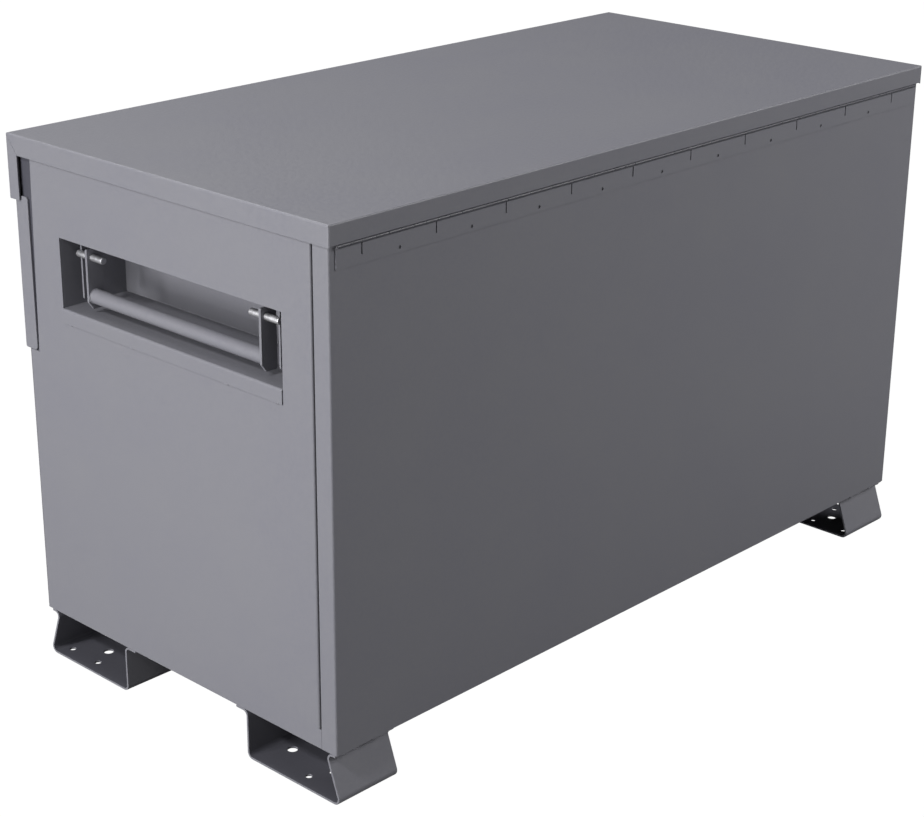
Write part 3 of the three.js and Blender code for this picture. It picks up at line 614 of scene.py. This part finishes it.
for side in sideNames:
    makeGrip(side)
    for edge in edgeNames:
        makePivotPin(side, edge)
    for part in ("body", "lid"):
        makeStud(part, side)
makeHingePin()
print("Handles, studs and hinge pin made")


# Weld beads: overlapping drops along each path, laid by geometry nodes

beadValues = {
    "sheet": {"radius": 1.5 * mm, "spacing": 1.5 * mm, "seed": 11},
    "plate": {"radius": 2.2 * mm, "spacing": 1.9 * mm, "seed": 23},
    "ring": {"radius": 0.9 * mm, "spacing": 0.9 * mm, "seed": 37},
    "tack": {"radius": 0.8 * mm, "spacing": 0.8 * mm, "seed": 41},
}


def makeBeadTree():
    tree, entry, leave = newGroup("Weld bead", "GeometryNodeTree", [
        ("Path", "NodeSocketGeometry", None),
        ("Drop Radius", "NodeSocketFloat", 0.0016),
        ("Drop Spacing", "NodeSocketFloat", 0.0014),
        ("Smallest", "NodeSocketFloat", 0.85),
        ("Largest", "NodeSocketFloat", 1.1),
        ("Seed", "NodeSocketInt", 4),
        ("Finish", "NodeSocketMaterial", None),
    ], [("Beads", "NodeSocketGeometry")])
    curve = addNode(tree, "GeometryNodeMeshToCurve", {"Mesh": entry["Path"]}).outputs[0]
    points = addNode(tree, "GeometryNodeCurveToPoints", {
        "Curve": curve, "Length": entry["Drop Spacing"],
    }, mode="LENGTH").outputs
    drop = addNode(tree, "GeometryNodeMeshIcoSphere", {
        "Radius": entry["Drop Radius"], "Subdivisions": 2,
    }).outputs[0]
    growth = addNode(tree, "FunctionNodeRandomValue", {
        2: entry["Smallest"], 3: entry["Largest"], "Seed": entry["Seed"],
    }, data_type="FLOAT").outputs[1]
    placed = addNode(tree, "GeometryNodeInstanceOnPoints", {
        "Points": points["Points"], "Instance": drop, "Rotation": points["Rotation"], "Scale": growth,
    }).outputs[0]
    whole = addNode(tree, "GeometryNodeRealizeInstances", {0: placed}).outputs[0]
    smooth = addNode(tree, "GeometryNodeSetShadeSmooth", {0: whole}).outputs[0]
    finished = addNode(tree, "GeometryNodeSetMaterial", {
        "Geometry": smooth, "Material": entry["Finish"],
    }).outputs[0]
    tree.links.new(finished, leave[0])
    return tree


beadTree = makeBeadTree()


def layBeads(name, body, lines, values):
    shape = bmesh.new()
    for line in lines:
        corners = [shape.verts.new(point) for point in line]
        for near, far in zip(corners, corners[1:]):
            shape.edges.new((near, far))
    path = newPiece(name + "_path", shape)
    modifier = path.modifiers.new("beads", "NODES")
    modifier.node_group = beadTree
    given = {
        "Drop Radius": values["radius"], "Drop Spacing": values["spacing"], "Seed": values["seed"],
        "Finish": finishes["body_paint"],
    }
    for item in beadTree.interface.items_tree:
        if item.in_out == "INPUT" and item.name in given:
            modifier[item.identifier] = given[item.name]
    bpy.context.view_layer.update()
    evaluated = path.evaluated_get(bpy.context.evaluated_depsgraph_get())
    mesh = bpy.data.meshes.new_from_object(evaluated)
    mesh.name = name
    piece = bpy.data.objects.new(name, mesh)
    bpy.context.scene.collection.objects.link(piece)
    bpy.data.objects.remove(path)
    finishPiece(piece, body, "body_paint")


# Beads of one length, evenly spread between two points
def stitches(start, end, count, length):
    start, end = Vector(start), Vector(end)
    along = (end - start).normalized()
    room = (end - start).length - length
    places = [start + along * room * step / max(count - 1, 1) for step in range(count)]
    return [(place, place + along * length) for place in places]


# Feet: along both flanges
footWelds = {
    "margin": 12 * mm, "count": 2, "length": 26 * mm, "outerEdge": 6.5 * mm, "drop": 1.6 * mm,
}


def footLines(side, edge):
    low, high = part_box(f"skid_foot_{edge}_{side}")
    inner, outer = low.y, high.y - footWelds["outerEdge"]
    if edge == "front":
        inner, outer = high.y, low.y + footWelds["outerEdge"]
    level = high.z - footWelds["drop"]
    first, last = low.x + footWelds["margin"], high.x - footWelds["margin"]
    return [line for across in (inner, outer) for line in stitches(
        (first, across, level), (last, across, level), footWelds["count"], footWelds["length"])]


# Pivot ears: along the pocket's top
earWelds = {"margin": 6 * mm, "count": 2, "length": 11 * mm, "drop": 0.9 * mm}


def earLines(side, edge):
    low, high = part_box(f"pivot_ear_{edge}_{side}")
    level = high.z - earWelds["drop"]
    first, last = low.x + earWelds["margin"], high.x - earWelds["margin"]
    return [line for across in (low.y, high.y) for line in stitches(
        (first, across, level), (last, across, level), earWelds["count"], earWelds["length"])]


# Lock wells: down both sides
wellWelds = {"inset": 1.2 * mm, "foot": 8 * mm, "head": 12 * mm, "count": 3, "length": 22 * mm}


def wellLines(side):
    low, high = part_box(f"lock_well_{side}")
    depth = low.y + wellWelds["inset"]
    bottom, top = low.z + wellWelds["foot"], high.z - wellWelds["head"]
    return [line for across in (low.x, high.x) for line in stitches(
        (across, depth, bottom), (across, depth, top), wellWelds["count"], wellWelds["length"])]


# Floor pan: along the upper edge of its four flanges
floorWelds = {"inset": 0.4 * mm, "margin": 60 * mm, "longCount": 7, "shortCount": 4, "length": 25 * mm}


def floorLines():
    low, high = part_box("floor_pan")
    level = high.z
    inset, margin, length = floorWelds["inset"], floorWelds["margin"], floorWelds["length"]
    lines = []
    for across in (low.y + inset, high.y - inset):
        lines += stitches(
            (low.x + margin, across, level), (high.x - margin, across, level),
            floorWelds["longCount"], length)
    for along in (low.x + inset, high.x - inset):
        lines += stitches(
            (along, low.y + margin, level), (along, high.y - margin, level),
            floorWelds["shortCount"], length)
    return lines


# Pocket lip: four weld spots under its lower edge
lipTacks = {
    "along": (-191.9 * mm, -64.9 * mm, 120.7 * mm, 211.1 * mm), "length": 6.0 * mm, "rise": 0.4 * mm,
}


def tackLines(side):
    low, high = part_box(f"handle_pocket_{side}")
    outer = high.x if side == "right" else low.x
    level = low.z + lipTacks["rise"]
    half = lipTacks["length"] / 2
    return [((outer, place - half, level), (outer, place + half, level)) for place in lipTacks["along"]]


# Lid stiffeners: along both flanges
stiffenerWelds = {"margin": 20 * mm, "count": 4, "length": 26 * mm, "drop": 1.4 * mm}


def stiffenerLines(side):
    low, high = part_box(f"lid_stiffener_{side}")
    level = high.z - stiffenerWelds["drop"]
    first, last = low.y + stiffenerWelds["margin"], high.y - stiffenerWelds["margin"]
    return [line for across in (low.x, high.x) for line in stitches(
        (across, first, level), (across, last, level),
        stiffenerWelds["count"], stiffenerWelds["length"])]


# Hinge: along the lid leaf's upper edge
leafWelds = {"margin": 40 * mm, "count": 9, "length": 20 * mm, "inset": 0.9 * mm}


def hingeLines():
    low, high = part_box("hinge_lid_leaf")
    across = low.y + leafWelds["inset"]
    first, last = low.x + leafWelds["margin"], high.x - leafWelds["margin"]
    return stitches(
        (first, across, high.z), (last, across, high.z), leafWelds["count"], leafWelds["length"])


# Grip: a ring at each end, where it meets its arm
ringWelds = {"steps": 32}


def gripRings(side):
    low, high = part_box(f"handle_grip_{side}")
    centre = (low + high) / 2
    radius, steps = gripValues["radius"], ringWelds["steps"]
    turns = [2 * math.pi * step / steps for step in range(steps + 1)]
    return [[
        (centre.x + radius * math.cos(angle), across, centre.z + radius * math.sin(angle))
        for angle in turns
    ] for across in (low.y, high.y)]


def bothSides(makeLines):
    return [line for side in sideNames for line in makeLines(side)]


def allCorners(makeLines):
    return [line for side in sideNames for edge in edgeNames for line in makeLines(side, edge)]


layBeads("weld_beads_feet", "body", allCorners(footLines), beadValues["plate"])
layBeads(
    "weld_beads_body", "body", allCorners(earLines) + bothSides(wellLines) + floorLines(),
    beadValues["sheet"])
layBeads("weld_tacks_body", "body", bothSides(tackLines), beadValues["tack"])
layBeads("weld_beads_lid", "lid", bothSides(stiffenerLines) + hingeLines(), beadValues["sheet"])
for side in sideNames:
    layBeads(f"weld_rings_{side}", f"handle_{side}", gripRings(side), beadValues["ring"])
print("Welds laid")


# Floor: white to the camera, and grey to the light that it throws back

floorValues = {
    "tone": (0.22, 0.22, 0.22, 1), "glow": 1.05, "glowShare": 0.97, "reach": 30.0, "drop": 0.2 * mm,
}


def makeFloor(values):
    shape = bmesh.new()
    reach = values["reach"]
    shape.faces.new([
        shape.verts.new((x, y, -values["drop"]))
        for x, y in ((-reach, -reach), (reach, -reach), (reach, reach), (-reach, reach))
    ])
    mesh = bpy.data.meshes.new("studioFloor")
    shape.to_mesh(mesh)
    shape.free()
    floor = bpy.data.objects.new("studioFloor", mesh)
    bpy.context.scene.collection.objects.link(floor)
    material = bpy.data.materials.new("paleFloor")
    material.use_nodes = True
    tree = material.node_tree
    tree.nodes.clear()
    matt = addNode(tree, "ShaderNodeBsdfDiffuse", {"Color": values["tone"]})
    glow = addNode(tree, "ShaderNodeEmission", {"Strength": values["glow"]})
    seen = addNode(tree, "ShaderNodeLightPath").outputs["Is Camera Ray"]
    share = calculate(tree, "MULTIPLY", seen, values["glowShare"])
    both = addNode(tree, "ShaderNodeMixShader", {0: share, 1: matt.outputs[0], 2: glow.outputs[0]})
    addNode(tree, "ShaderNodeOutputMaterial", {"Surface": both.outputs[0]})
    mesh.materials.append(material)


# Lamps: soft panels, each pointed at its target

lampValues = {
    "key": {
        "place": (3.70, 0.22, 3.61), "target": (0.6, 0, 0.5), "size": (0.4, 0.4), "power": 85,
    },
    "endLevel": {
        "place": (4.80, 0.15, 0.57), "target": (0.6, 0, 0.5), "size": (2.6, 0.7), "power": 66,
    },
    "endLow": {
        "place": (4.61, -0.71, 1.42), "target": (0.6, 0, 0.4), "size": (2.2, 0.9), "power": 122,
    },
    "endMid": {
        "place": (4.13, -0.50, 2.63), "target": (0.6, 0, 0.4), "size": (2.2, 1.2), "power": 22,
    },
    "overEnd": {
        "place": (1.22, -0.21, 4.15), "target": (0, 0, 0.35), "size": (1.8, 1.8), "power": 14,
    },
    "overFront": {
        "place": (0, -1.88, 3.88), "target": (0, 0, 0.35), "size": (2.2, 1.8), "power": 102,
    },
    "backFar": {
        "place": (-2.38, 2.84, 2.32), "target": (0, 0, 0.35), "size": (1.8, 1.8), "power": 111,
    },
    "backNear": {
        "place": (1.95, 3.67, 0.93), "target": (0, 0, 0.35), "size": (1.8, 0.8), "power": 7,
    },
}


def makeLamp(name, place, target, size, power):
    data = bpy.data.lights.new(name, "AREA")
    data.shape = "RECTANGLE"
    data.size, data.size_y = size
    data.energy = power
    lamp = bpy.data.objects.new(name, data)
    lamp.visible_camera = False
    bpy.context.scene.collection.objects.link(lamp)
    lamp.location = place
    lamp.rotation_euler = (Vector(target) - Vector(place)).to_track_quat("-Z", "Y").to_euler()


# Surroundings: white behind the box, and nearly dark to everything that it lights

worldValues = {"ambient": 0.01, "backdrop": 1.0}


def makeWorld(values):
    world = bpy.data.worlds.new("studioWorld")
    bpy.context.scene.world = world
    world.use_nodes = True
    tree = world.node_tree
    tree.nodes.clear()
    seen = addNode(tree, "ShaderNodeLightPath").outputs["Is Camera Ray"]
    strength = mapRange(tree, seen, values["ambient"], values["backdrop"])
    backdrop = addNode(tree, "ShaderNodeBackground", {"Color": (1, 1, 1, 1), "Strength": strength})
    addNode(tree, "ShaderNodeOutputWorld", {"Surface": backdrop.outputs[0]})


makeFloor(floorValues)
for name, values in lampValues.items():
    makeLamp(name, **values)
makeWorld(worldValues)
bpy.context.scene.view_settings.view_transform = "Standard"
print("Studio made")
